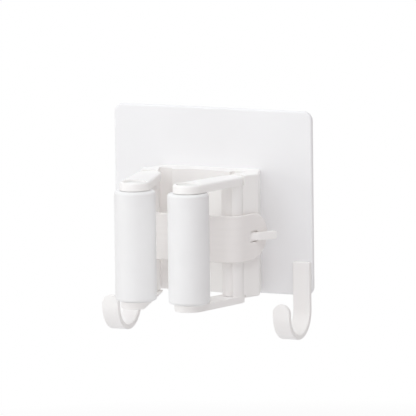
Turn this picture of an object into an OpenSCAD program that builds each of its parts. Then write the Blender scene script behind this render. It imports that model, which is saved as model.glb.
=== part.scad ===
// Wall mop holder: a stick-on plate with a sprung two-roller clip and two J hooks.
// X runs along the wall, the wall is the plane y = 0, the part stands out towards -Y, Z is up.
// The origin is the middle of the adhesive face that goes on the wall.

/* [Wall plate] */
// Width of the wall plate
plate_w = 94.6; // [90:0.2:120]
// Height of the wall plate
plate_h = 80; // [74:0.5:110]
// Thickness of the wall plate
plate_t = 1.8; // [1.6:0.1:3]
// Corner radius of the wall plate
plate_corner_r = 4; // [2:0.5:8]
// Thickness of the adhesive sheet behind the plate
pad_t = 0.8; // [0.4:0.1:1.5]
// Bare rim of plate left round the adhesive sheet
pad_rim = 1.5; // [0.5:0.25:4]

/* [Hooks] */
// Width of a hook's strip
hook_w = 8.1; // [6:0.1:10]
// Thickness of a hook's strip
hook_t = 2.2; // [2:0.1:3.2]
// Outer radius of the J bend
hook_r = 11.6; // [9:0.1:13]
// Length of the shank that lies on the plate
hook_lap = 15; // [12:0.5:20]
// How far the J hangs below the plate
hook_drop = 17.3; // [14:0.1:24]
// Height of the tongue above the middle of the bend
hook_tip_rise = 5; // [4.5:0.1:9]
// Right plate edge to the right hook's outer side
right_hook_inset = 0.6; // [0:0.1:4]
// Left plate edge to the left hook's outer side
left_hook_inset = 4.25; // [0:0.05:6]
// Radius of the moulded pegs that stake a hook to the plate
hook_peg_r = 1.2; // [0.8:0.1:1.6]

/* [Clip base] */
// Height of the clip's middle above the middle of the plate
clip_z = -12.5; // [-16:0.25:0]
// Width of the base where it meets the plate
foot_w = 45.6; // [43:0.2:50]
// Distance between the two hinge axes
hinge_span = 39; // [37:0.2:40]
// Distance of the hinge axes from the plate's front
hinge_depth = 23; // [22:0.1:25]
// How far the base stands past the arm's opening at each end
base_lip = 2.6; // [1.6:0.1:4]
// How far the widest corner of a wing lies outside its hinge axis
wing_out = 8.3; // [7.6:0.1:9.4]
// How far the widest corner of a wing lies behind its hinge axis
wing_back = 10.1; // [8.6:0.1:11]
// How far the front corner of a wing lies outside its hinge axis
wing_tip_out = 5.4; // [5.2:0.1:5.8]
// How far the front corner of a wing lies behind its hinge axis
wing_tip_back = 2.7; // [2.2:0.1:3.4]
// How far the inner side of a wing lies inside its hinge axis, at the front
wing_in = 2.3; // [1.4:0.1:2.8]
// How far the pocket beside a wing reaches outside the hinge axis
pocket_out = 1.9; // [1.2:0.1:2.6]
// Wall behind the pockets
pocket_wall = 8.6; // [6:0.1:9.5]
// Wall behind the deepest line of the saddle
saddle_wall = 9.4; // [8:0.1:10.5]
// Radius of the hollow saddle behind the handle
saddle_r = 42; // [34:0.5:60]
// Width of the saddle between its two sharp edges
saddle_w = 28; // [24:0.2:29]
// How much the saddle's sides spread towards the pocket floor
saddle_draft = 0.4; // [0.2:0.1:0.8]
// Radius of the hinge barrel
barrel_r = 4; // [3.6:0.1:4.1]
// Width of the rib that carries the barrel
neck_w = 3.4; // [2.6:0.1:3.6]
// Thickness of the lips that curl round the arm's web above and below the strap
lip_t = 0.5; // [0.4:0.1:0.8]

/* [Arms] */
// Thickness of an arm's top plate
arm_cap_t = 3.6; // [3.2:0.1:4]
// Thickness of an arm's bottom plate
arm_sole_t = 3; // [2.8:0.1:4]
// Bevel on the inner lower edge of an arm's bottom plate
sole_bevel = 2.4; // [0.8:0.1:2.6]
// Radius of an arm's round front end
arm_nose_r = 6.5; // [5.5:0.1:7.5]
// Radius of an arm's rear end round the hinge
arm_heel_r = 5.2; // [5.1:0.1:5.4]
// How far the arms' middle lies below the base's middle
arm_drop = 1.4; // [0:0.1:1.6]
// Thickness of the web that joins an arm's two plates
web_t = 0.8; // [0.7:0.05:0.9]
// Radius of the hinge pins
hinge_pin_r = 1.5; // [1.2:0.1:1.8]

/* [Rollers] */
// Outer diameter of a roller's soft sleeve
roller_d = 17.8; // [15:0.2:20]
// Length of a roller's soft sleeve
roller_len = 47.4; // [42:0.1:55]
// Gap between the two rollers at rest
roller_gap = 7.5; // [6:0.1:10]
// Distance of the roller axes from the plate's front
roller_depth = 50.9; // [48:0.1:56]
// Wall of the soft sleeve
sleeve_t = 2.4; // [1.6:0.1:3.2]
// Rounding of the sleeve's rims
sleeve_rim_r = 1.2; // [0.6:0.1:1.5]
// Radius of the roller axles
axle_r = 2; // [1.5:0.1:2.4]

/* [Elastic strap] */
// Height of the strap
strap_h = 20.3; // [20.2:0.1:24]
// How far the strap's middle lies below the clip's middle
strap_drop = 0.25; // [0:0.05:1]
// Thickness of the strap
strap_t = 1.6; // [1.2:0.1:2.2]
// Length of the straight run from the arm's web to the tab's end
strap_run = 15.8; // [14.8:0.1:18]
// Rounding of the tab's upper corner
tab_upper_r = 8.7; // [5:0.1:8.8]
// Rounding of the tab's lower corner
tab_lower_r = 11.3; // [8:0.1:11.4]
// Height of the slot in the tab
slot_h = 5; // [4.6:0.1:6.4]
// Rounding of the slot's corners
slot_corner_r = 1.4; // [0.6:0.1:2]
// How far the slot starts before the finger
slot_lead = 1; // [0.6:0.1:1.2]

/* [Strap fingers] */
// Height of a finger
finger_h = 3.5; // [2.6:0.1:3.8]
// Width of a finger's stem along the strap
stem_w = 2.4; // [1.8:0.1:2.8]
// Distance of the stem's middle along the strap's straight run
stem_run = 5.8; // [5.6:0.1:6.4]
// Thickness of a finger's prong
prong_t = 1.8; // [1.4:0.1:2.2]
// Length of a finger's prong
prong_len = 13.3; // [11:0.1:15]
// Angle at which the prong leaves the strap
prong_angle = 16; // [14:1:20]

/* [Base screws] */
// Radius of a screw's shank
screw_r = 1.2; // [1:0.1:1.5]
// Radius of a screw's flat head
screw_head_r = 2.6; // [2.2:0.1:3.2]
// Thickness of a screw's flat head
screw_head_t = 1; // [0.7:0.1:1.2]
// Depth of a screw in the base
screw_bite = 5.4; // [4:0.1:6]
// Distance between the screws along the wall
screw_span_x = 20; // [16:0.5:22]
// Distance between the screws up the wall
screw_span_z = 36; // [28:0.5:42]

/* [Hidden] */
$fn = 96;

// Clearances and small sizes
run_fit = 0.05;
loose_fit = 0.1;
cut = 1;
hinge_gap = 0.3;
strap_gap = 0.3;
web_gap = 0.3;
web_sink = 1;
side_ease = 0.02;
barrel_float = 0.2;
core_proud = 0.1;
core_float = 0.2;
slot_play = 0.3;
stem_sink = 1.6;
prong_lift = 0.6;
neck_sink = 1;
wing_front_back = 4.2;
wing_foot = 3.3;
pin_head_r = 2.4;
pin_head_t = 0.8;
pin_skin = 0.9;
axle_head_r = 5;
axle_head_t = 1.2;
axle_sink = 0.7;
hook_peg_edge = 4;

// Angles on the right side, counted from +X towards the wall
web_from = -62;
web_to = 20;
lip_from = 2;
lip_to = 40;
neck_angle = 85;
arc_steps = 16;
corner_steps = 8;

// Colours
white = "#f4f3f1";
soft_white = "#efeeec";
clear_grey = "#d9dde0";
steel = "#b9bcc0";

// Levels up the wall and planes out from it
face_y = -(pad_t + plate_t);
plate_bottom = -plate_h / 2;
core_len = roller_len + 2 * core_proud;
opening_h = core_len + 2 * core_float;
base_h = opening_h + 2 * base_lip;
base_bottom = clip_z - base_h / 2;
arm_z = clip_z - arm_drop;
strap_z = clip_z - strap_drop;
opening_top = arm_z + opening_h / 2;
opening_bottom = arm_z - opening_h / 2;
arm_top = opening_top + arm_cap_t;
arm_bottom = opening_bottom - arm_sole_t;

// Middle of each hook
right_hook_x = plate_w / 2 - right_hook_inset - hook_w / 2;
left_hook_x = left_hook_inset + hook_w / 2 - plate_w / 2;

// Axes of the right side
hinge = [hinge_span / 2, face_y - hinge_depth];
axle = [(roller_gap + roller_d) / 2, face_y - roller_depth];
web_in_r = barrel_r + web_gap;
web_out_r = web_in_r + web_t;
strap_r = web_out_r + strap_gap;
core_r = roller_d / 2 - sleeve_t;
arm_angle = atan2(hinge.y - axle.y, hinge.x - axle.x);
arm_lean = acos((arm_nose_r - arm_heel_r) / norm(hinge - axle));

// Corners of the right wing and of the saddle
wing_wide = hinge + [wing_out, wing_back];
wing_tip = hinge + [wing_tip_out, wing_tip_back];
wing_front = hinge + [-wing_in, wing_front_back];
floor_y = face_y - pocket_wall;
saddle_y = face_y - saddle_wall - saddle_r;
saddle_edge_y = saddle_y + sqrt(saddle_r * saddle_r - saddle_w * saddle_w / 4);

// The strap leaves the web on a line that clears the widest corner of the wing
to_wide = norm(wing_wide - hinge);
run_turn = asin((strap_r - strap_gap) / to_wide);
run_angle = atan2(wing_back, wing_out) + run_turn;
run_start = hinge + strap_r * unit(run_angle - 90);

// Unit vector at an angle
function unit(a) = [cos(a), sin(a)];

// One side of the right half of the strap, a given distance out from its inner face
function strap_side(out) = concat(
  [for (i = [0 : arc_steps]) hinge + (strap_r + out) * unit(-90 + i / arc_steps * run_angle)],
  [run_start + out * unit(run_angle - 90) + strap_run * unit(run_angle)]
);

// A list of points mirrored to the left side, and a list the other way round
function to_left(points) = [for (p = points) [-p.x, p.y]];
function backwards(points) = [for (i = [len(points) - 1 : -1 : 0]) points[i]];

// Puts a right-hand piece on the left
module on_left() {
  mirror([1, 0, 0]) children();
}

// Raises a flat outline of the wall plane out from a plane, away from the wall
module out_from(y, t) {
  translate([0, y, 0]) rotate([90, 0, 0]) linear_extrude(t) children();
}

// Raises a plan outline between two levels
module between(low, high) {
  translate([0, 0, low]) linear_extrude(high - low) children();
}

// Rod along the wall's normal
module rod_out(x, y, z, r, t) {
  translate([x, y, z]) rotate([90, 0, 0]) cylinder(h = t, r = r);
}

// Rod up the wall between two levels
module rod_up(at, r, low, high) {
  translate([at.x, at.y, low]) cylinder(h = high - low, r = r);
}

// Rectangle with round corners
module round_rect(w, h, r) {
  square([w - 2 * r, h], center = true);
  square([w, h - 2 * r], center = true);
  for (x = [-1, 1], z = [-1, 1])
    translate([x * (w / 2 - r), z * (h / 2 - r)]) circle(r);
}

// Sector of a ring round the right hinge
module hinge_ring(inner, outer, from, to) {
  reach = 2 * outer;
  translate(hinge) intersection() {
    rotate(180) difference() {
      circle(outer);
      circle(inner);
    }
    polygon([[0, 0], reach * unit(from), reach * unit((from + to) / 2), reach * unit(to)]);
  }
}

// Lays a shape along the strap's straight run: x along the run, y out from the strap
module on_run() {
  translate([run_start.x, run_start.y, clip_z]) rotate(run_angle) mirror([0, 1, 0]) children();
}

// Places of the four base screws
module at_screws() {
  for (x = [-1, 1], z = [-1, 1])
    translate([x * screw_span_x / 2, 0, clip_z + z * screw_span_z / 2]) children();
}

// Places of a hook's two staking pegs
module at_pegs(x) {
  for (z = [plate_bottom + hook_peg_edge, plate_bottom + hook_lap - hook_peg_edge])
    translate([x, 0, z]) children();
}

// Adhesive sheet: a clear gel sheet on the back of the plate
module adhesive_pad() {
  pad_r = max(plate_corner_r - pad_rim, pad_rim);
  color(clear_grey) out_from(0, pad_t)
    round_rect(plate_w - 2 * pad_rim, plate_h - 2 * pad_rim, pad_r);
}

// Wall plate: moulded sheet, counterbored from behind for the base screws
module back_plate() {
  color(white) difference() {
    out_from(-pad_t, plate_t) round_rect(plate_w, plate_h, plate_corner_r);
    at_screws() {
      rod_out(0, cut, 0, screw_r + loose_fit, cut - face_y + cut);
      rod_out(0, cut, 0, screw_head_r + loose_fit, cut + pad_t + screw_head_t);
    }
    for (x = [left_hook_x, right_hook_x])
      at_pegs(x) rod_out(0, cut, 0, hook_peg_r + run_fit, cut - face_y + cut);
  }
}

// Base screws: flat-headed self-tapping screws driven from behind the plate
module base_screws() {
  color(steel) at_screws() {
    rod_out(0, -pad_t, 0, screw_head_r, screw_head_t);
    rod_out(0, -pad_t, 0, screw_r, plate_t + screw_bite);
  }
}

// J hook: moulded strip staked to the plate's front, with a round-ended tongue
module hook(x) {
  bend_z = plate_bottom - hook_drop + hook_r;
  tongue_y = face_y - 2 * hook_r + hook_t;
  tongue_z = bend_z + hook_tip_rise - hook_w / 2;
  translate([x, 0, 0]) {
    out_from(face_y, hook_t)
      translate([-hook_w / 2, bend_z]) square([hook_w, plate_bottom + hook_lap - bend_z]);
    translate([0, face_y - hook_r, bend_z]) rotate([90, 0, -90])
      linear_extrude(hook_w, center = true) intersection() {
        difference() {
          circle(hook_r);
          circle(hook_r - hook_t);
        }
        translate([-hook_r, -hook_r]) square([2 * hook_r, hook_r]);
      }
    out_from(tongue_y, hook_t) {
      translate([-hook_w / 2, bend_z]) square([hook_w, tongue_z - bend_z]);
      translate([0, tongue_z]) circle(hook_w / 2);
    }
  }
  at_pegs(x) rod_out(0, -pad_t, 0, hook_peg_r, plate_t);
}

module left_hook() {
  color(white) hook(left_hook_x);
}

module right_hook() {
  color(white) hook(right_hook_x);
}

// Plan of the base's back wall and saddle
module saddle_outline() {
  edge_x = saddle_w / 2;
  pocket_x = hinge.x + pocket_out;
  difference() {
    polygon([
      [-foot_w / 2, face_y], [foot_w / 2, face_y], [pocket_x, floor_y],
      [edge_x + saddle_draft, floor_y], [edge_x, saddle_edge_y],
      [-edge_x, saddle_edge_y], [-edge_x - saddle_draft, floor_y], [-pocket_x, floor_y]
    ]);
    translate([0, saddle_y]) circle(saddle_r);
  }
}

// Plan of the right wing, hollowed round the arm's heel
module wing_outline() {
  difference() {
    polygon([
      [foot_w / 2, face_y], wing_wide, wing_tip, wing_front,
      [hinge.x + pocket_out, floor_y], [foot_w / 2 - wing_foot, face_y]
    ]);
    translate(hinge) circle(arm_heel_r + hinge_gap);
  }
}

// Right hinge barrel on its rib
module barrel() {
  between(opening_bottom + barrel_float, opening_top - barrel_float) {
    translate(hinge) circle(barrel_r);
    translate(hinge) rotate(neck_angle)
      translate([0, -neck_w / 2]) square([arm_heel_r + hinge_gap + neck_sink, neck_w]);
  }
}

// Lips of the right wing that curl round the arm's web, above and below the strap
module wing_lips() {
  lip_r = arm_heel_r + hinge_gap;
  strap_zone = strap_h / 2 + strap_gap;
  between(opening_bottom + barrel_float, strap_z - strap_zone)
    hinge_ring(lip_r, lip_r + lip_t, lip_from, lip_to);
  between(strap_z + strap_zone, opening_top - barrel_float)
    hinge_ring(lip_r, lip_r + lip_t, lip_from, lip_to);
}

// Right strap finger: a stem in the strap's slot and a prong that slants out through it
module finger() {
  on_run() translate([stem_run - stem_w / 2, 0, -finger_h / 2]) linear_extrude(finger_h) {
    translate([0, -stem_sink]) square([stem_w, stem_sink + prong_lift + prong_t / 2]);
    translate([0, prong_lift]) rotate(prong_angle) square([prong_len, prong_t]);
  }
}

// Clip base: moulded body with the hollow saddle, two wings, hinge barrels and strap fingers
module clip_base() {
  color(white) difference() {
    union() {
      between(base_bottom, base_bottom + base_h) {
        saddle_outline();
        wing_outline();
        on_left() wing_outline();
      }
      barrel();
      wing_lips();
      finger();
      on_left() {
        barrel();
        wing_lips();
        finger();
      }
    }
    for (side = [-1, 1])
      rod_up([side * hinge.x, hinge.y], hinge_pin_r + run_fit, opening_bottom, opening_top);
    at_screws() rod_out(0, face_y + cut, 0, screw_r, cut + screw_bite);
  }
}

// Elastic strap: flat band across the saddle, round both arms' webs and back to the fingers
module elastic_strap() {
  inner = strap_side(0);
  outer = strap_side(strap_t);
  color(soft_white) difference() {
    between(strap_z - strap_h / 2, strap_z + strap_h / 2)
      polygon(concat(inner, backwards(outer), to_left(outer), backwards(to_left(inner))));
    tab_cuts();
    on_left() tab_cuts();
  }
}

// What is cut from the right tab of the strap: its slot and its two corners
module tab_cuts() {
  slot_start = stem_run - stem_w / 2 - slot_lead;
  slot_len = slot_lead + (strap_t + slot_play - prong_lift) / tan(prong_angle) + slot_play;
  on_run() translate([0, cut + strap_t, 0]) rotate([90, 0, 0])
    linear_extrude(strap_t + 2 * cut) {
      translate([slot_start + slot_len / 2, 0]) round_rect(slot_len, slot_h, slot_corner_r);
      translate([strap_run, strap_h / 2 - strap_drop]) corner_cut(tab_upper_r);
      translate([strap_run, -strap_h / 2 - strap_drop]) mirror([0, 1]) corner_cut(tab_lower_r);
    }
}

// What rounding an outer corner takes away, with the sharp corner at the origin
module corner_cut(r) {
  arc = [for (i = [0 : corner_steps]) r * unit(i / corner_steps * 90) - [r, r]];
  polygon(concat([[cut, cut], [cut, -r]], arc, [[-r, cut]]));
}

// Plan of the right arm: a disc round the axle and one round the hinge, joined by straight sides
// that lie a hair inside the discs' tangents
module arm_outline() {
  nose_r = arm_nose_r - side_ease;
  heel_r = arm_heel_r - side_ease;
  translate(axle) circle(arm_nose_r);
  translate(hinge) circle(arm_heel_r);
  polygon([
    axle + nose_r * unit(arm_angle + arm_lean), hinge + heel_r * unit(arm_angle + arm_lean),
    hinge + heel_r * unit(arm_angle - arm_lean), axle + nose_r * unit(arm_angle - arm_lean)
  ]);
}

// What the bevel takes off the inner lower edge of the right arm's bottom plate
module bevel_cut() {
  edge = axle + arm_nose_r * unit(arm_angle + arm_lean);
  reach = norm(hinge - axle) + arm_nose_r;
  translate([edge.x, edge.y, arm_bottom]) rotate(arm_angle + arm_lean) rotate([90, 0, 0])
    linear_extrude(2 * reach, center = true)
      polygon([[cut, -cut], [cut, sole_bevel + cut], [-sole_bevel - cut, -cut]]);
}

// Right arm: top and bottom plates joined by a thin web that wraps the hinge barrel
module arm() {
  difference() {
    union() {
      between(opening_top, arm_top) arm_outline();
      between(arm_bottom, opening_bottom) arm_outline();
      between(opening_bottom - web_sink, opening_top + web_sink)
        hinge_ring(web_in_r, web_out_r, web_from, web_to);
    }
    bevel_cut();
    rod_up(hinge, hinge_pin_r, arm_bottom - cut, arm_top - pin_skin);
    rod_up(hinge, pin_head_r, arm_bottom - cut, arm_bottom + pin_head_t);
    rod_up(axle, axle_r, arm_bottom - cut, arm_top + cut);
    rod_up(axle, axle_head_r, arm_top - axle_sink - axle_head_t, arm_top + cut);
  }
}

module left_arm() {
  color(white) on_left() arm();
}

module right_arm() {
  color(white) arm();
}

// Right hinge pin: flat-headed, pushed in from below
module hinge_pin() {
  rod_up(hinge, hinge_pin_r, arm_bottom, arm_top - pin_skin);
  rod_up(hinge, pin_head_r, arm_bottom, arm_bottom + pin_head_t);
}

module left_hinge_pin() {
  color(steel) on_left() hinge_pin();
}

module right_hinge_pin() {
  color(steel) hinge_pin();
}

// Right roller axle: moulded pin with its head sunk in the arm's top
module roller_axle() {
  head_top = arm_top - axle_sink;
  rod_up(axle, axle_r, arm_bottom, head_top);
  rod_up(axle, axle_head_r, head_top - axle_head_t, head_top);
}

module left_roller_axle() {
  color(white) on_left() roller_axle();
}

module right_roller_axle() {
  color(white) roller_axle();
}

// Right roller core: rigid tube that turns on the axle
module roller_core() {
  difference() {
    rod_up(axle, core_r, arm_z - core_len / 2, arm_z + core_len / 2);
    rod_up(axle, axle_r + run_fit, opening_bottom, opening_top);
  }
}

module left_roller_core() {
  color(white) on_left() roller_core();
}

module right_roller_core() {
  color(white) roller_core();
}

// Right roller sleeve: soft sleeve with round rims, tight on the core
module roller_sleeve() {
  rim_x = core_r + sleeve_t - sleeve_rim_r;
  translate([axle.x, axle.y, arm_z]) rotate_extrude() {
    translate([core_r, -roller_len / 2]) square([sleeve_t - sleeve_rim_r, roller_len]);
    translate([core_r, sleeve_rim_r - roller_len / 2])
      square([sleeve_t, roller_len - 2 * sleeve_rim_r]);
    for (end = [-1, 1])
      translate([rim_x, end * (roller_len / 2 - sleeve_rim_r)]) circle(sleeve_rim_r);
  }
}

module left_roller_sleeve() {
  color(soft_white) on_left() roller_sleeve();
}

module right_roller_sleeve() {
  color(soft_white) roller_sleeve();
}

adhesive_pad();
back_plate();
base_screws();
clip_base();
left_hook();
right_hook();
elastic_strap();
left_arm();
right_arm();
left_hinge_pin();
right_hinge_pin();
left_roller_axle();
right_roller_axle();
left_roller_core();
right_roller_core();
left_roller_sleeve();
right_roller_sleeve();
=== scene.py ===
import math

import bmesh
import bpy
from mathutils import Matrix, Vector


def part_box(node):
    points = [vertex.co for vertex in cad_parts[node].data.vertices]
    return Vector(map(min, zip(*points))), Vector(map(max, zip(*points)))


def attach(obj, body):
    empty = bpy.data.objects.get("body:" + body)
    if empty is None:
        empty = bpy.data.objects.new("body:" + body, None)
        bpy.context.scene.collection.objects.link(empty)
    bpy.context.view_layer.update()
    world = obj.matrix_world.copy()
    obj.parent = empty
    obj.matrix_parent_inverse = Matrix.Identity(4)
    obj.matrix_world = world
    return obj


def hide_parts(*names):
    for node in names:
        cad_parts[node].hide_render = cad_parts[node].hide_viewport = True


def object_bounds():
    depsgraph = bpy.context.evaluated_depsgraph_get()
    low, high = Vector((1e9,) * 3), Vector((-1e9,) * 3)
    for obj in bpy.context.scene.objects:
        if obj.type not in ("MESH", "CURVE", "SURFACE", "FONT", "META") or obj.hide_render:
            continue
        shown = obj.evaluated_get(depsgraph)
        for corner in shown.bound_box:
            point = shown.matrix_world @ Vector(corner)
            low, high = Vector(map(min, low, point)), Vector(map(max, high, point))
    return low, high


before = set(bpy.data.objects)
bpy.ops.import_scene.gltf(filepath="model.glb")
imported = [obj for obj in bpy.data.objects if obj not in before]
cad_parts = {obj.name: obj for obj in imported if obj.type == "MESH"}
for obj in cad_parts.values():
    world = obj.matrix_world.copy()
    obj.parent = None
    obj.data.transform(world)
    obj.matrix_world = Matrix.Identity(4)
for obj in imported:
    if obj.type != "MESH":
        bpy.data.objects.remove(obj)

cad_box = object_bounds()

# Adhesive sheet. A clear acrylic gel sheet, cast in one piece and stuck on the plate's back,
# so that the whole rack hangs on a smooth wall without screws.
mm = 0.001


def linear(colour):
    """An sRGB hex colour as linear red, green, blue and alpha."""
    parts = [int(colour[i:i + 2], 16) / 255 for i in (1, 3, 5)]
    return [c / 12.92 if c <= 0.04045 else ((c + 0.055) / 1.055) ** 2.4 for c in parts] + [1.0]


def link(tree, node, links):
    """Links a node's inputs, given by name or by number."""
    for name, socket in links.items():
        tree.links.new(socket, node.inputs[name])


def add(tree, kind, settings, links):
    """Adds a node to a material, with its values, its two colour stops and its links."""
    made = tree.nodes.new(kind)
    for name, value in settings.items():
        if name == "stops":
            for stop, (at, colour) in zip(made.color_ramp.elements, value):
                stop.position = at
                stop.color = linear(colour)
        elif name in made.inputs:
            made.inputs[name].default_value = value
        else:
            setattr(made, name, value)
    link(tree, made, links)
    return made


def new_finish(name):
    """An empty material, with its node tree, its plain shader and its object coordinates."""
    finish = bpy.data.materials.new(name)
    finish.use_nodes = True
    tree = finish.node_tree
    place = add(tree, "ShaderNodeTexCoord", {}, {})
    return finish, tree, tree.nodes["Principled BSDF"], place.outputs["Object"]


def coat(node, finish):
    """Gives a CAD node a finish in place of its plain one."""
    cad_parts[node].data.materials.clear()
    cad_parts[node].data.materials.append(finish)


# Cast acrylic gel: water-clear with a milky depth, tacky and wet-looking, with soft casting waves
# about 6 mm long.
gel, tree, shader, place = new_finish("cast_acrylic_gel")
shader.inputs["Roughness"].default_value = 0.16
shader.inputs["IOR"].default_value = 1.49
waves = add(tree, "ShaderNodeTexNoise", {"Scale": 1 / (6 * mm), "Detail": 2.0}, {"Vector": place})
tone = add(tree, "ShaderNodeValToRGB", {"stops": ((0.3, "#dadfe3"), (0.7, "#e2e6e9"))},
           {"Fac": waves.outputs["Fac"]})
bump = add(tree, "ShaderNodeBump", {"Strength": 0.25, "Distance": 0.2 * mm},
           {"Height": waves.outputs["Fac"]})
link(tree, shader, {"Base Color": tone.outputs["Color"], "Normal": bump.outputs["Normal"]})
coat("adhesive_pad", gel)

# Wall plate. A thin sheet of white ABS, injection moulded in a polished mould, with round corners
# and a rounded front edge. The adhesive sheet holds it on the wall, and it carries all the rest.
corner_r = 4 * mm
front_round = 0.9 * mm
back_round = 0.3 * mm
near = 0.1 * mm


def pick(piece, kind, test):
    """Selects a piece's edges or faces in edit mode by a test of their middle and direction."""
    shape = bmesh.from_edit_mesh(piece.data)
    bpy.ops.mesh.select_all(action="DESELECT")
    bpy.ops.mesh.select_mode(type="EDGE" if kind == "edges" else "FACE")
    if kind == "edges":
        for edge in shape.edges:
            a, b = edge.verts[0].co, edge.verts[1].co
            edge.select_set(bool(test((a + b) / 2, (b - a).normalized())))
    else:
        for face in shape.faces:
            face.select_set(bool(test(face.calc_center_median(), face.normal)))
    shape.select_flush_mode()
    bmesh.update_edit_mesh(piece.data)


def take(piece):
    """Leaves edit mode and makes a piece the only selected one and the active one."""
    if bpy.context.object and bpy.context.object.mode != "OBJECT":
        bpy.ops.object.mode_set(mode="OBJECT")
    bpy.ops.object.select_all(action="DESELECT")
    piece.select_set(True)
    bpy.context.view_layer.objects.active = piece


def smoothed(piece):
    """Smooth shading that keeps the flats flat."""
    take(piece)
    bpy.ops.object.shade_smooth_by_angle(angle=math.radians(40))
    weigh = piece.modifiers.new("flats", "WEIGHTED_NORMAL")
    weigh.keep_sharp = True
    bpy.ops.object.modifier_apply(modifier=weigh.name)


low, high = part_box("back_plate")
bpy.ops.object.select_all(action="DESELECT")
bpy.ops.mesh.primitive_cube_add(size=1, location=(low + high) / 2)
plate = bpy.context.object
plate.name = "wall_plate"
plate.scale = high - low
bpy.ops.object.transform_apply(location=True, rotation=True, scale=True)
bpy.ops.object.mode_set(mode="EDIT")
pick(plate, "edges", lambda at, way: abs(way.y) > 0.9)
bpy.ops.mesh.bevel(offset=corner_r, segments=12, affect="EDGES")
pick(plate, "edges", lambda at, way: at.y < low.y + near and abs(way.y) < 0.1)
bpy.ops.mesh.bevel(offset=front_round, segments=5, affect="EDGES")
pick(plate, "edges", lambda at, way: at.y > high.y - near and abs(way.y) < 0.1)
bpy.ops.mesh.bevel(offset=back_round, segments=2, affect="EDGES")
smoothed(plate)

# Polished ABS: a clean neutral white, satin, with a faint tone drift about 30 mm wide where the
# melt flowed, and a mould skin of about 0.6 mm, drawn coarse enough to show.
plate_abs, tree, shader, place = new_finish("moulded_white_abs_polished")
shader.inputs["IOR"].default_value = 1.53
drift = add(tree, "ShaderNodeTexNoise", {"Scale": 1 / (30 * mm), "Detail": 1.0}, {"Vector": place})
tone = add(tree, "ShaderNodeValToRGB", {"stops": ((0.3, "#f0f0f1"), (0.7, "#f2f2f3"))},
           {"Fac": drift.outputs["Fac"]})
skin = add(tree, "ShaderNodeTexNoise", {"Scale": 1 / (0.6 * mm), "Detail": 3.0}, {"Vector": place})
gloss = add(tree, "ShaderNodeMapRange", {"To Min": 0.36, "To Max": 0.46},
            {"Value": skin.outputs["Fac"]})
bump = add(tree, "ShaderNodeBump", {"Strength": 0.1, "Distance": 0.02 * mm},
           {"Height": skin.outputs["Fac"]})
link(tree, shader, {"Base Color": tone.outputs["Color"], "Roughness": gloss.outputs["Result"],
                    "Normal": bump.outputs["Normal"]})
plate.data.materials.append(plate_abs)
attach(plate, "root")
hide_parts("back_plate")

# Base screws. Four flat-headed steel screws, driven from behind the plate into the clip base
# before the adhesive sheet goes on, so no fastener shows on the front.

# Zinc-plated steel: bluish grey metal with a fine turned skin, about 0.3 mm between its lines.
zinc, tree, shader, place = new_finish("zinc_plated_steel")
shader.inputs["Metallic"].default_value = 1.0
skin = add(tree, "ShaderNodeTexNoise", {"Scale": 1 / (0.3 * mm), "Detail": 2.0}, {"Vector": place})
tone = add(tree, "ShaderNodeValToRGB", {"stops": ((0.3, "#b4b8bd"), (0.7, "#c9ccd0"))},
           {"Fac": skin.outputs["Fac"]})
gloss = add(tree, "ShaderNodeMapRange", {"To Min": 0.28, "To Max": 0.42},
            {"Value": skin.outputs["Fac"]})
link(tree, shader, {"Base Color": tone.outputs["Color"], "Roughness": gloss.outputs["Result"]})
coat("base_screws", zinc)

# J hooks. Strips of white ABS bent up in the mould into a J with a round tongue, and staked to the
# plate's front at its lower corners.
strip_t = 2.2 * mm
bend_r = 11.6 * mm
tongue_rise = 5 * mm
tongue_round = 0.498  # of the strip's width, so that the two corners just don't meet
strip_round = 0.55 * mm


def rounded(piece, width, segments):
    """Rounds all of a piece's sharp edges, as the mould does, and smooths it."""
    take(piece)
    edge = piece.modifiers.new("edge", "BEVEL")
    edge.width = width
    edge.segments = segments
    edge.limit_method = "ANGLE"
    edge.angle_limit = math.radians(35)
    bpy.ops.object.modifier_apply(modifier=edge.name)
    smoothed(piece)


# Etched ABS: the same white plastic from a finely etched mould, so it is a little duller, with a
# grain of about 0.4 mm, drawn coarse enough to show, and a tone drift about 18 mm wide.
clip_abs, tree, shader, place = new_finish("moulded_white_abs_etched")
shader.inputs["IOR"].default_value = 1.53
drift = add(tree, "ShaderNodeTexNoise", {"Scale": 1 / (18 * mm), "Detail": 1.0}, {"Vector": place})
tone = add(tree, "ShaderNodeValToRGB", {"stops": ((0.3, "#f7f5f4"), (0.7, "#f9f8f6"))},
           {"Fac": drift.outputs["Fac"]})
grain = add(tree, "ShaderNodeTexNoise", {"Scale": 1 / (0.4 * mm), "Detail": 3.0}, {"Vector": place})
gloss = add(tree, "ShaderNodeMapRange", {"To Min": 0.4, "To Max": 0.52},
            {"Value": grain.outputs["Fac"]})
bump = add(tree, "ShaderNodeBump", {"Strength": 0.15, "Distance": 0.02 * mm},
           {"Height": grain.outputs["Fac"]})
link(tree, shader, {"Base Color": tone.outputs["Color"], "Roughness": gloss.outputs["Result"],
                    "Normal": bump.outputs["Normal"]})

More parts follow.
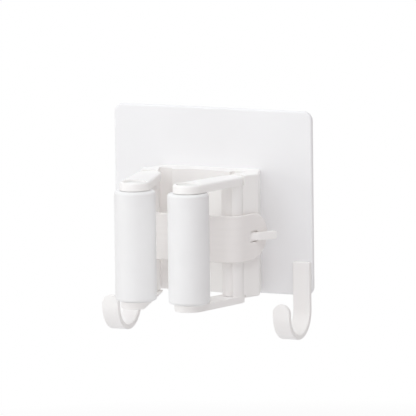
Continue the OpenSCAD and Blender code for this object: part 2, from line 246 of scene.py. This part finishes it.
plate_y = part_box("back_plate")[0].y
bend_y = plate_y - bend_r
for side in ("left", "right"):
    low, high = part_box(side + "_hook")
    strip_w = high.x - low.x
    middle = (low.x + high.x) / 2
    bend_z = low.z + bend_r
    bpy.ops.object.select_all(action="DESELECT")
    bpy.ops.mesh.primitive_plane_add(size=1, location=(middle, plate_y - strip_t / 2, high.z))
    hook = bpy.context.object
    hook.name = side + "_j_hook"
    hook.scale = (strip_w, strip_t, 1)
    bpy.ops.object.transform_apply(location=True, rotation=True, scale=True)
    bpy.ops.object.mode_set(mode="EDIT")
    bpy.ops.mesh.select_all(action="SELECT")
    bpy.ops.mesh.extrude_region_move(TRANSFORM_OT_translate={"value": (0, 0, bend_z - high.z)})
    bpy.ops.mesh.spin(steps=32, angle=math.pi, center=(middle, bend_y, bend_z), axis=(1, 0, 0))
    bpy.ops.mesh.extrude_region_move(TRANSFORM_OT_translate={"value": (0, 0, tongue_rise)})
    tip_z = bend_z + tongue_rise - near
    pick(hook, "edges", lambda at, way: at.y < bend_y and at.z > tip_z and abs(way.y) > 0.9)
    bpy.ops.mesh.bevel(offset=strip_w * tongue_round, segments=14, affect="EDGES")
    bpy.ops.mesh.select_all(action="SELECT")
    bpy.ops.mesh.normals_make_consistent(inside=False)
    rounded(hook, strip_round, 3)
    hook.data.materials.append(clip_abs)
    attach(hook, "root")
    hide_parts(side + "_hook")

# Clip base. A thick moulding of the same white ABS with a hollow saddle behind the handle and a
# wing on each side. Each wing carries a hinge barrel on a rib, a lip round the arm's web, and a
# finger that the strap hooks over. Plan sizes are in millimetres, angles in degrees.
hinge = (19.5, -25.6)
saddle_middle, saddle_r, saddle_from = (0, -54.0), 42, 70.53
heel_room_r, heel_room_from, heel_room_to = 5.5, 110.3, 31
pocket = [(14.4, -11.2), (21.4, -11.2)]
wing = [(24.9, -22.9), (27.8, -15.5), (22.8, -2.6)]
corner_round, rim_round, body_round = 0.6 * mm, 0.8 * mm, 0.25 * mm
corner_from, rim_from = 27.5 * mm, 25 * mm
barrel_r = 4.0
barrel_past = 0.15 * mm
rib_turn, rib_len, rib_half = 85, 6.5, 1.7
run_turn = 73.55
stem_plan = ((4.35, 3.8), (9.55, 3.8), (9.55, 5.9), (4.35, 5.9))
stem_half_h = 2.45 * mm
prong_plan = ((5.6, 3.9), (9.3, 6.9), (17.54, 9.6), (16.98, 11.31), (9.0, 8.72), (8.0, 8.1),
              (7.3, 7.3), (6.5, 6.2), (5.6, 5.7))
prong_half_h = 1.75 * mm
lip_back = [(24.43, -24.18), (25.29, -21.98)]
lip_far, lip_r, lip_from, lip_to = 6.3, 5.13, 40, 17
part_round, prong_round, lip_round = 0.3 * mm, 0.45 * mm, 0.02 * mm


def arc(centre, r, start, end, steps):
    """Points on an arc in plan, in millimetres, between two angles."""
    turns = [math.radians(start + (end - start) * i / steps) for i in range(steps + 1)]
    return [(centre[0] + r * math.cos(t), centre[1] + r * math.sin(t)) for t in turns]


def traced(name, points, level):
    """A piece of edges that run from point to point in plan at a level, left in edit mode."""
    bpy.ops.object.select_all(action="DESELECT")
    start = (points[0][0] * mm, points[0][1] * mm, level)
    bpy.ops.mesh.primitive_plane_add(size=mm, location=start)
    piece = bpy.context.object
    piece.name = name
    bpy.ops.object.transform_apply(location=True, rotation=True, scale=True)
    bpy.ops.object.mode_set(mode="EDIT")
    bpy.ops.mesh.select_mode(type="VERT")
    bpy.ops.mesh.select_all(action="SELECT")
    bpy.ops.mesh.merge(type="CENTER")
    for here, there in zip(points, points[1:]):
        step = ((there[0] - here[0]) * mm, (there[1] - here[1]) * mm, 0)
        bpy.ops.mesh.extrude_region_move(TRANSFORM_OT_translate={"value": step})
    bpy.ops.mesh.select_all(action="SELECT")
    return piece


def drawn(name, points, low, high):
    """A prism piece: its plan is traced round, filled and raised between two levels."""
    piece = traced(name, points + points[:1], low)
    bpy.ops.mesh.remove_doubles(threshold=1e-6)
    bpy.ops.mesh.edge_face_add()
    bpy.ops.mesh.extrude_region_move(TRANSFORM_OT_translate={"value": (0, 0, high - low)})
    bpy.ops.mesh.select_all(action="SELECT")
    bpy.ops.mesh.normals_make_consistent(inside=False)
    bpy.ops.object.mode_set(mode="OBJECT")
    return piece


def joined(piece, *others):
    """Joins other meshes into a piece."""
    take(piece)
    for other in others:
        other.select_set(True)
    bpy.ops.object.join()
    return piece


def as_is(point):
    """A plan point on the right, where it is."""
    return point


def across(point):
    """A plan point mirrored to the left."""
    return (-point[0], point[1])


def off_hinge(turn, along, aside):
    """A plan point along and to the left of a direction from the right hinge."""
    c, s = math.cos(math.radians(turn)), math.sin(math.radians(turn))
    return (hinge[0] + along * c - aside * s, hinge[1] + along * s + aside * c)


saddle = arc(saddle_middle, saddle_r, saddle_from, 90, 16)
heel_room = arc(hinge, heel_room_r, heel_room_from, heel_room_to, 16)
right_half = saddle[::-1] + pocket + heel_room + wing
low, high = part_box("clip_base")
outline = right_half + [across(p) for p in right_half[:0:-1]]
body = drawn("clip_body", outline, low.z, high.z)
bpy.ops.object.mode_set(mode="EDIT")
pick(body, "edges", lambda at, way: abs(way.z) > 0.9 and abs(at.x) > corner_from)
bpy.ops.mesh.bevel(offset=corner_round, segments=4, affect="EDGES")
pick(body, "edges", lambda at, way: abs(way.z) < 0.1 and abs(at.x) > rim_from)
bpy.ops.mesh.bevel(offset=rim_round, segments=4, affect="EDGES")
rounded(body, body_round, 2)

# Where two roundings meet, points closer than 0.06 mm are merged, so that no sliver is left.
bpy.ops.object.mode_set(mode="EDIT")
bpy.ops.mesh.select_mode(type="VERT")
bpy.ops.mesh.select_all(action="SELECT")
bpy.ops.mesh.remove_doubles(threshold=0.06 * mm)
bpy.ops.mesh.dissolve_degenerate(threshold=1e-6)
smoothed(body)

barrel_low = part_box("right_roller_core")[0].z - barrel_past
barrel_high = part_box("right_roller_core")[1].z + barrel_past
finger_z = (low.z + high.z) / 2
barrel_plan = arc(hinge, barrel_r, 0, 352.5, 47)
rib_plan = [off_hinge(rib_turn, along, aside) for along, aside in (
    (0, -rib_half), (rib_len, -rib_half), (rib_len, rib_half), (0, rib_half))]
stem_plan = [off_hinge(run_turn, along, -out) for along, out in stem_plan]
prong_plan = [off_hinge(run_turn, along, -out) for along, out in prong_plan]
lip_plan = lip_back + [off_hinge(lip_from, lip_far, 0)] + arc(hinge, lip_r, lip_from, lip_to, 10)
parts = []
for turned in (as_is, across):
    for name, plan, z0, z1, width in (
        ("barrel", barrel_plan, barrel_low, barrel_high, part_round),
        ("rib", rib_plan, barrel_low, barrel_high, part_round),
        ("stem", stem_plan, finger_z - stem_half_h, finger_z + stem_half_h, part_round),
        ("prong", prong_plan, finger_z - prong_half_h, finger_z + prong_half_h, prong_round),
        ("lip", lip_plan, barrel_low, barrel_high, lip_round),
    ):
        part = drawn(name, [turned(p) for p in plan], z0, z1)
        rounded(part, width, 2)
        parts.append(part)
joined(body, *parts)
body.data.materials.append(clip_abs)
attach(body, "root")
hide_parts("clip_base")

# Swinging arms. C brackets of the same etched ABS: a top and a bottom plate with round ends,
# joined by a thin web that wraps the hinge barrel. A sunk seat in the top takes the head of the
# roller's axle, and the bottom plate is bevelled on its inner side.
axle = (12.65, -53.5)
nose_r, heel_r = 6.5, 5.42
core_gap = 0.2 * mm
seat_r, seat_depth = 5.05, 1.9 * mm
bore_r = 2.05
pin_seat_r, pin_seat_depth = 2.45, 0.8 * mm
over = 1 * mm
inner_side = 163.6
sole_bevel = 2.4 * mm
wedge = 100 * mm
cap_round, seat_round, sole_round = 1 * mm, 0.3 * mm, 0.4 * mm
web_outer, web_inner, web_from, web_to = 5.1, 4.3, -62, 20
web_sunk = 0.3 * mm
web_round = 0.2 * mm
flush = 1e-6


def disc(name, at, r, low, high, count):
    """A plain round bar between two levels, to cut with, to hull or to shape further."""
    bpy.ops.object.select_all(action="DESELECT")
    bpy.ops.mesh.primitive_cylinder_add(vertices=count, radius=r * mm, depth=high - low,
                                        location=(at[0] * mm, at[1] * mm, (low + high) / 2))
    bpy.context.object.name = name
    bpy.ops.object.transform_apply(location=True, rotation=True, scale=True)
    return bpy.context.object


def cut_by(piece, tool):
    """Cuts one mesh out of a piece and throws the tool away."""
    take(piece)
    cut = piece.modifiers.new("cut", "BOOLEAN")
    cut.operation = "DIFFERENCE"
    cut.solver = "EXACT"
    cut.object = tool
    bpy.ops.object.modifier_apply(modifier=cut.name)
    bpy.data.objects.remove(tool)


def edges_rounded(piece, test, width, segments):
    """Rounds those of a piece's edges that pass a test, and leaves edit mode."""
    take(piece)
    bpy.ops.object.mode_set(mode="EDIT")
    pick(piece, "edges", test)
    bpy.ops.mesh.bevel(offset=width, segments=segments, affect="EDGES")
    bpy.ops.object.mode_set(mode="OBJECT")


for side, turned in (("left", across), ("right", as_is)):
    low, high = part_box(side + "_arm")
    gap_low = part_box(side + "_roller_core")[0].z - core_gap
    gap_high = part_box(side + "_roller_core")[1].z + core_gap
    nose, heel = turned(axle), turned(hinge)
    plates = []
    for name, z0, z1 in (("cap", gap_high, high.z), ("sole", low.z, gap_low)):
        piece = joined(disc(name, nose, nose_r, z0, z1, 72), disc("heel", heel, heel_r, z0, z1, 64))
        bpy.ops.object.mode_set(mode="EDIT")
        bpy.ops.mesh.select_all(action="SELECT")
        bpy.ops.mesh.convex_hull()
        bpy.ops.mesh.dissolve_limited(angle_limit=math.radians(1))
        bpy.ops.object.mode_set(mode="OBJECT")
        plates.append(piece)
    cap, sole = plates
    edges_rounded(cap, lambda at, way: at.z > high.z - flush, cap_round, 4)
    cut_by(cap, disc("seat", nose, seat_r, high.z - seat_depth, high.z + over, 72))
    cut_by(sole, disc("bore", nose, bore_r, low.z - over, gap_low + over, 48))
    cut_by(sole, disc("pin_seat", heel, pin_seat_r, low.z - over, low.z + pin_seat_depth, 48))
    centre = Vector((nose[0] * mm, nose[1] * mm, low.z + sole_bevel))
    inner_turn = math.radians(inner_side if side == "right" else 180 - inner_side)
    inner = Vector((math.cos(inner_turn), math.sin(inner_turn), 0))
    slope = (inner - Vector((0, 0, 1))).normalized()
    bpy.ops.object.select_all(action="DESELECT")
    bpy.ops.mesh.primitive_cube_add(size=wedge, rotation=(0, math.radians(45), inner_turn),
                                    location=centre + inner * nose_r * mm + slope * wedge / 2)
    cut_by(sole, bpy.context.object)
    seat_reach = (seat_r + 0.05) * mm
    edges_rounded(
        cap, lambda at, way: at.z > high.z - flush and (at - centre).xy.length < seat_reach,
        seat_round, 2)
    smoothed(cap)
    edges_rounded(sole, lambda at, way: at.z < low.z + flush, sole_round, 3)
    smoothed(sole)
    web = arc(hinge, web_outer, web_from, web_to, 28) + arc(hinge, web_inner, web_to, web_from, 28)
    web = drawn("web", [turned(p) for p in web], gap_low - web_sunk, gap_high + web_sunk)
    rounded(web, web_round, 2)
    arm = joined(cap, sole, web)
    arm.name = side + "_swing_arm"
    arm.data.materials.append(clip_abs)
    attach(arm, side + "_arm")
    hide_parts(side + "_arm")

# Hinge pins. Drawn steel wire with a flat upset head, pushed up through the arm and the base's
# barrel from below until the head is flush.

# Drawn steel: bright grey metal with fine lines along its length, about 0.2 mm apart.
steel, tree, shader, place = new_finish("drawn_steel_wire")
shader.inputs["Metallic"].default_value = 1.0
stretch = add(tree, "ShaderNodeMapping", {"Scale": (1.0, 1.0, 0.05)}, {"Vector": place})
lines = add(tree, "ShaderNodeTexNoise", {"Scale": 1 / (0.2 * mm), "Detail": 2.0},
            {"Vector": stretch.outputs["Vector"]})
tone = add(tree, "ShaderNodeValToRGB", {"stops": ((0.3, "#a9adb1"), (0.7, "#c3c6c9"))},
           {"Fac": lines.outputs["Fac"]})
gloss = add(tree, "ShaderNodeMapRange", {"To Min": 0.22, "To Max": 0.38},
            {"Value": lines.outputs["Fac"]})
link(tree, shader, {"Base Color": tone.outputs["Color"], "Roughness": gloss.outputs["Result"]})
for side in ("left", "right"):
    coat(side + "_hinge_pin", steel)

# Roller axles. Acetal pins with a wide flat head, pressed down through the arm's two plates so
# that the head sits sunk in the seat on top.

# Turned acetal: waxy natural white with faint turning rings, about 0.5 mm apart, round each axle.
# A wave texture of scale 1 has a ring every 0.314 units.
for side, turned in (("left", across), ("right", as_is)):
    acetal, tree, shader, place = new_finish("turned_white_acetal_" + side)
    shader.inputs["IOR"].default_value = 1.48
    nose = turned(axle)
    centred = add(tree, "ShaderNodeMapping", {"Location": (-nose[0] * mm, -nose[1] * mm, 0.0)},
                  {"Vector": place})
    rings = add(tree, "ShaderNodeTexWave", {"wave_type": "RINGS", "rings_direction": "Z",
                                            "Scale": 0.314 / (0.5 * mm), "Distortion": 0.4},
                {"Vector": centred.outputs["Vector"]})
    tone = add(tree, "ShaderNodeValToRGB", {"stops": ((0.3, "#efeeec"), (0.7, "#f1f0ee"))},
               {"Fac": rings.outputs["Fac"]})
    gloss = add(tree, "ShaderNodeMapRange", {"To Min": 0.34, "To Max": 0.44},
                {"Value": rings.outputs["Fac"]})
    link(tree, shader, {"Base Color": tone.outputs["Color"], "Roughness": gloss.outputs["Result"]})
    coat(side + "_roller_axle", acetal)

# Roller cores. Rigid tubes of white polypropylene, moulded in one piece, that turn on the axles
# between the arm's two plates and stand a hair proud of the sleeves.

# Moulded polypropylene: cool white, slightly waxy, with a grain of about 0.8 mm.
core_pp, tree, shader, place = new_finish("moulded_white_polypropylene")
shader.inputs["IOR"].default_value = 1.49
grain = add(tree, "ShaderNodeTexNoise", {"Scale": 1 / (0.8 * mm), "Detail": 2.0}, {"Vector": place})
tone = add(tree, "ShaderNodeValToRGB", {"stops": ((0.3, "#e9e9e8"), (0.7, "#eeeeed"))},
           {"Fac": grain.outputs["Fac"]})
gloss = add(tree, "ShaderNodeMapRange", {"To Min": 0.4, "To Max": 0.5},
            {"Value": grain.outputs["Fac"]})
link(tree, shader, {"Base Color": tone.outputs["Color"], "Roughness": gloss.outputs["Result"]})
for side in ("left", "right"):
    coat(side + "_roller_core", core_pp)

# Roller sleeves. Soft tubes of white thermoplastic rubber with round rims, stretched over the
# cores, that grip the handle.
sleeve_wall = 2.4 * mm
sleeve_round = 1.2 * mm

# Moulded thermoplastic rubber: dead matt and a little powdery, with a fine skin of about 0.5 mm
# and a tone drift about 12 mm wide.
sleeve_tpe, tree, shader, place = new_finish("moulded_white_tpe_matt")
shader.inputs["IOR"].default_value = 1.5
shader.inputs["Sheen Weight"].default_value = 0.04
shader.inputs["Sheen Roughness"].default_value = 0.5
drift = add(tree, "ShaderNodeTexNoise", {"Scale": 1 / (12 * mm), "Detail": 2.0}, {"Vector": place})
tone = add(tree, "ShaderNodeValToRGB", {"stops": ((0.3, "#efefef"), (0.7, "#f2f2f2"))},
           {"Fac": drift.outputs["Fac"]})
skin = add(tree, "ShaderNodeTexNoise", {"Scale": 1 / (0.5 * mm), "Detail": 3.0}, {"Vector": place})
gloss = add(tree, "ShaderNodeMapRange", {"To Min": 0.56, "To Max": 0.7},
            {"Value": skin.outputs["Fac"]})
bump = add(tree, "ShaderNodeBump", {"Strength": 0.2, "Distance": 0.03 * mm},
           {"Height": skin.outputs["Fac"]})
link(tree, shader, {"Base Color": tone.outputs["Color"], "Roughness": gloss.outputs["Result"],
                    "Normal": bump.outputs["Normal"]})

for side in ("left", "right"):
    low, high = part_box(side + "_roller_sleeve")
    middle = (low + high) / 2
    outer = (high.x - low.x) / 2
    bore_reach, rim_reach = outer - 2 * mm, outer - 1 * mm
    at = (middle.x / mm, middle.y / mm)
    sleeve = disc(side + "_soft_sleeve", at, outer / mm, low.z, high.z, 96)
    bpy.ops.object.mode_set(mode="EDIT")
    pick(sleeve, "faces", lambda at, way: abs(way.z) > 0.9)
    bpy.ops.mesh.inset(thickness=sleeve_wall, use_individual=True)
    bpy.ops.mesh.delete(type="FACE")
    pick(sleeve, "edges",
         lambda at, way: (at - middle).xy.length < bore_reach and abs(way.z) < 0.1)
    bpy.ops.mesh.bridge_edge_loops()
    pick(sleeve, "edges", lambda at, way: (at - middle).xy.length > rim_reach and abs(way.z) < 0.1)
    bpy.ops.mesh.bevel(offset=sleeve_round, segments=6, affect="EDGES")
    bpy.ops.mesh.select_all(action="SELECT")
    bpy.ops.mesh.normals_make_consistent(inside=False)
    smoothed(sleeve)
    sleeve.data.materials.append(sleeve_tpe)
    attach(sleeve, side + "_roller")
    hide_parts(side + "_roller_sleeve")

# Elastic strap. One moulded band of white rubber with round edges. It lies across the saddle, goes
# round both arms' webs, and a slot in the tab at each end hooks over the base's finger and pulls
# the arms in.
strap_t = 1.6 * mm
wrap_r, run_len = 5.4, 15.8
tab_top_r, tab_bottom_r = 8.7 * mm, 11.3 * mm
slot_along, slot_out = 6.95, 6.2
slot_len, slot_deep, slot_h = 5.3 * mm, 4 * mm, 5 * mm
slot_round = 1.4 * mm
strap_round = 0.6 * mm
low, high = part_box("elastic_strap")
wrap = arc(hinge, wrap_r, -90, run_turn - 90, 20)
tab_end = off_hinge(run_turn, run_len, -wrap_r)
right_run = wrap + [tab_end]
strap = traced("rubber_strap", [across(p) for p in right_run[::-1]] + right_run, low.z)
bpy.ops.mesh.extrude_region_move(TRANSFORM_OT_translate={"value": (0, 0, high.z - low.z)})
for level, r in ((high.z, tab_top_r), (low.z, tab_bottom_r)):
    shape = bmesh.from_edit_mesh(strap.data)
    bpy.ops.mesh.select_mode(type="VERT")
    bpy.ops.mesh.select_all(action="DESELECT")
    for vert in shape.verts:
        at_end = abs(abs(vert.co.x) - tab_end[0] * mm) < flush
        vert.select_set(abs(vert.co.z - level) < flush and at_end)
    shape.select_flush_mode()
    bmesh.update_edit_mesh(strap.data)
    bpy.ops.mesh.bevel(offset=r, segments=12, affect="VERTICES")
bpy.ops.mesh.select_all(action="SELECT")
bpy.ops.mesh.normals_make_consistent(inside=False)
take(strap)
thick = strap.modifiers.new("wall", "SOLIDIFY")
thick.thickness = strap_t
thick.offset = 1.0
bpy.ops.object.modifier_apply(modifier=thick.name)
for turned, angle in ((as_is, run_turn), (across, -run_turn)):
    at = turned(off_hinge(run_turn, slot_along, -slot_out))
    turn = math.radians(angle)
    through = Vector((-math.sin(turn), math.cos(turn), 0))
    bpy.ops.object.select_all(action="DESELECT")
    bpy.ops.mesh.primitive_cube_add(size=1, location=(at[0] * mm, at[1] * mm, finger_z),
                                    rotation=(0, 0, turn))
    slot = bpy.context.object
    slot.scale = (slot_len, slot_deep, slot_h)
    bpy.ops.object.transform_apply(location=True, rotation=True, scale=True)
    edges_rounded(slot, lambda at, way: abs(way.dot(through)) > 0.9, slot_round, 6)
    cut_by(strap, slot)
rounded(strap, strap_round, 4)

# Moulded rubber: matt, a trace warmer than the hard plastic, with faint lengthwise flow lines
# about 1.2 mm apart and a skin of about 0.5 mm.
strap_tpr, tree, shader, place = new_finish("moulded_white_rubber")
shader.inputs["IOR"].default_value = 1.5
stretch = add(tree, "ShaderNodeMapping", {"Scale": (0.08, 0.08, 1.0)}, {"Vector": place})
flow = add(tree, "ShaderNodeTexNoise", {"Scale": 1 / (1.2 * mm), "Detail": 2.0},
           {"Vector": stretch.outputs["Vector"]})
tone = add(tree, "ShaderNodeValToRGB", {"stops": ((0.3, "#f2efed"), (0.7, "#f4f1ef"))},
           {"Fac": flow.outputs["Fac"]})
skin = add(tree, "ShaderNodeTexNoise", {"Scale": 1 / (0.5 * mm), "Detail": 3.0}, {"Vector": place})
gloss = add(tree, "ShaderNodeMapRange", {"To Min": 0.5, "To Max": 0.62},
            {"Value": skin.outputs["Fac"]})
bump = add(tree, "ShaderNodeBump", {"Strength": 0.15, "Distance": 0.03 * mm},
           {"Height": skin.outputs["Fac"]})
link(tree, shader, {"Base Color": tone.outputs["Color"], "Roughness": gloss.outputs["Result"],
                    "Normal": bump.outputs["Normal"]})
strap.data.materials.append(strap_tpr)
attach(strap, "root")
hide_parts("elastic_strap")

# Floor. A plain white studio sweep some way below the rack, which hangs in the air as in a
# catalogue picture. It shows white to the camera, keeps a soft shadow under the rack, and is clear
# from below.
floor_size = 12
floor_drop = 90 * mm
shadow_reach = 350 * mm
bpy.ops.object.select_all(action="DESELECT")
bpy.ops.mesh.primitive_plane_add(size=floor_size, location=(0, 0, cad_box[0].z - floor_drop))
floor = bpy.context.object
floor.name = "studio_floor"
bpy.ops.object.transform_apply(location=True, rotation=True, scale=True)

# Matt white paper. The camera and reflections see it glow at plain white, except near the rack.
paper, tree, shader, place = new_finish("white_studio_paper")
shader.inputs["Base Color"].default_value = linear("#f4f4f4")
shader.inputs["Roughness"].default_value = 0.9
glow = add(tree, "ShaderNodeEmission", {"Color": (1, 1, 1, 1), "Strength": 1.0}, {})
seen = add(tree, "ShaderNodeLightPath", {}, {})
either = add(tree, "ShaderNodeMath", {"operation": "MAXIMUM"},
             {0: seen.outputs["Is Camera Ray"], 1: seen.outputs["Is Glossy Ray"]})
flat = add(tree, "ShaderNodeMapping", {"Scale": (1 / shadow_reach, 1 / shadow_reach, 0)},
           {"Vector": place})
under = add(tree, "ShaderNodeTexGradient", {"gradient_type": "SPHERICAL"},
            {"Vector": flat.outputs["Vector"]})
bare = add(tree, "ShaderNodeMath", {"operation": "SUBTRACT"},
           {0: either.outputs["Value"], 1: under.outputs["Fac"]})
mixed = add(tree, "ShaderNodeMixShader", {}, {"Fac": bare.outputs["Value"],
                                              1: shader.outputs["BSDF"],
                                              2: glow.outputs["Emission"]})
below = add(tree, "ShaderNodeNewGeometry", {}, {})
clear = add(tree, "ShaderNodeBsdfTransparent", {}, {})
sided = add(tree, "ShaderNodeMixShader", {}, {"Fac": below.outputs["Backfacing"],
                                              1: mixed.outputs["Shader"],
                                              2: clear.outputs["BSDF"]})
link(tree, tree.nodes["Material Output"], {"Surface": sided.outputs["Shader"]})
floor.data.materials.append(paper)

# Light. A white room for the even base light, soft lamps from above and the upper left, two from
# the left that light the saddle through the arms, two faint ones in front, and one over the
# plate's back. Light goes to and fro often between white walls, so more bounces are followed.
bpy.context.scene.cycles.diffuse_bounces = 12
world = bpy.data.worlds.new("white_room")
bpy.context.scene.world = world
world.use_nodes = True
tree = world.node_tree
room = tree.nodes["Background"]
room.inputs["Color"].default_value = (1.0, 0.915, 0.91, 1)
room.inputs["Strength"].default_value = 0.385
shown = add(tree, "ShaderNodeBackground", {"Color": (1, 1, 1, 1), "Strength": 1.0}, {})
seen = add(tree, "ShaderNodeLightPath", {}, {})
either = add(tree, "ShaderNodeMath", {"operation": "MAXIMUM"},
             {0: seen.outputs["Is Camera Ray"], 1: seen.outputs["Is Glossy Ray"]})
mixed = add(tree, "ShaderNodeMixShader", {}, {"Fac": either.outputs["Value"],
                                              1: room.outputs["Background"],
                                              2: shown.outputs["Background"]})
link(tree, tree.nodes["World Output"], {"Surface": mixed.outputs["Shader"]})
for name, at, size, watts, colour in (
    ("above", (0.37, -0.53, 1.13), 0.75, 5.75, (0.93, 0.98, 1.0)),
    ("upper_left", (-0.53, -0.75, 0.92), 0.75, 2.95, (0.88, 0.95, 1.0)),
    ("left", (-1.25, -0.25, 0.35), 0.9, 1.15, (1.0, 0.93, 0.9)),
    ("low_left", (-0.9, -0.9, 0.05), 0.7, 2.85, (0.96, 1.0, 0.96)),
    ("front", (-0.25, -1.2, 0.45), 0.9, 0.8, (0.95, 0.98, 1.0)),
    ("camera_side", (0.5, -1.15, 0.3), 0.9, 1.25, (1.0, 0.96, 0.95)),
    ("behind", (-0.5, 0.45, 1.1), 0.5, 2.4, (0.84, 0.93, 1.0)),
):
    lamp = bpy.data.lights.new(name, "AREA")
    lamp.size = size
    lamp.energy = watts
    lamp.color = colour
    softbox = bpy.data.objects.new(name, lamp)
    bpy.context.scene.collection.objects.link(softbox)
    softbox.location = at
    softbox.rotation_euler = (-softbox.location).to_track_quat("-Z", "Y").to_euler()

# Camera. Placed where the photograph was taken: from the right, a little above and some way off,
# through a long lens.
turn, rise, roll = math.radians(25.61), math.radians(8.0), math.radians(-0.72)
aim, distance = Vector((0.00861, -0.0256, -0.00046)), 2.97098
back = Vector((math.sin(turn) * math.cos(rise), -math.cos(turn) * math.cos(rise), math.sin(rise)))
sideways = Vector((math.cos(turn), math.sin(turn), 0))
upright = back.cross(sideways)
right = math.cos(roll) * sideways + math.sin(roll) * upright
up = math.cos(roll) * upright - math.sin(roll) * sideways
lens = bpy.data.cameras.new("camera")
lens.lens = 598.2
lens.sensor_width = 36
camera = bpy.data.objects.new("camera", lens)
bpy.context.scene.collection.objects.link(camera)
place = aim + back * distance
camera.matrix_world = Matrix((
    (right.x, up.x, back.x, place.x),
    (right.y, up.y, back.y, place.y),
    (right.z, up.z, back.z, place.z),
    (0, 0, 0, 1),
))
bpy.context.scene.camera = camera
bpy.context.scene.view_settings.view_transform = "Standard"
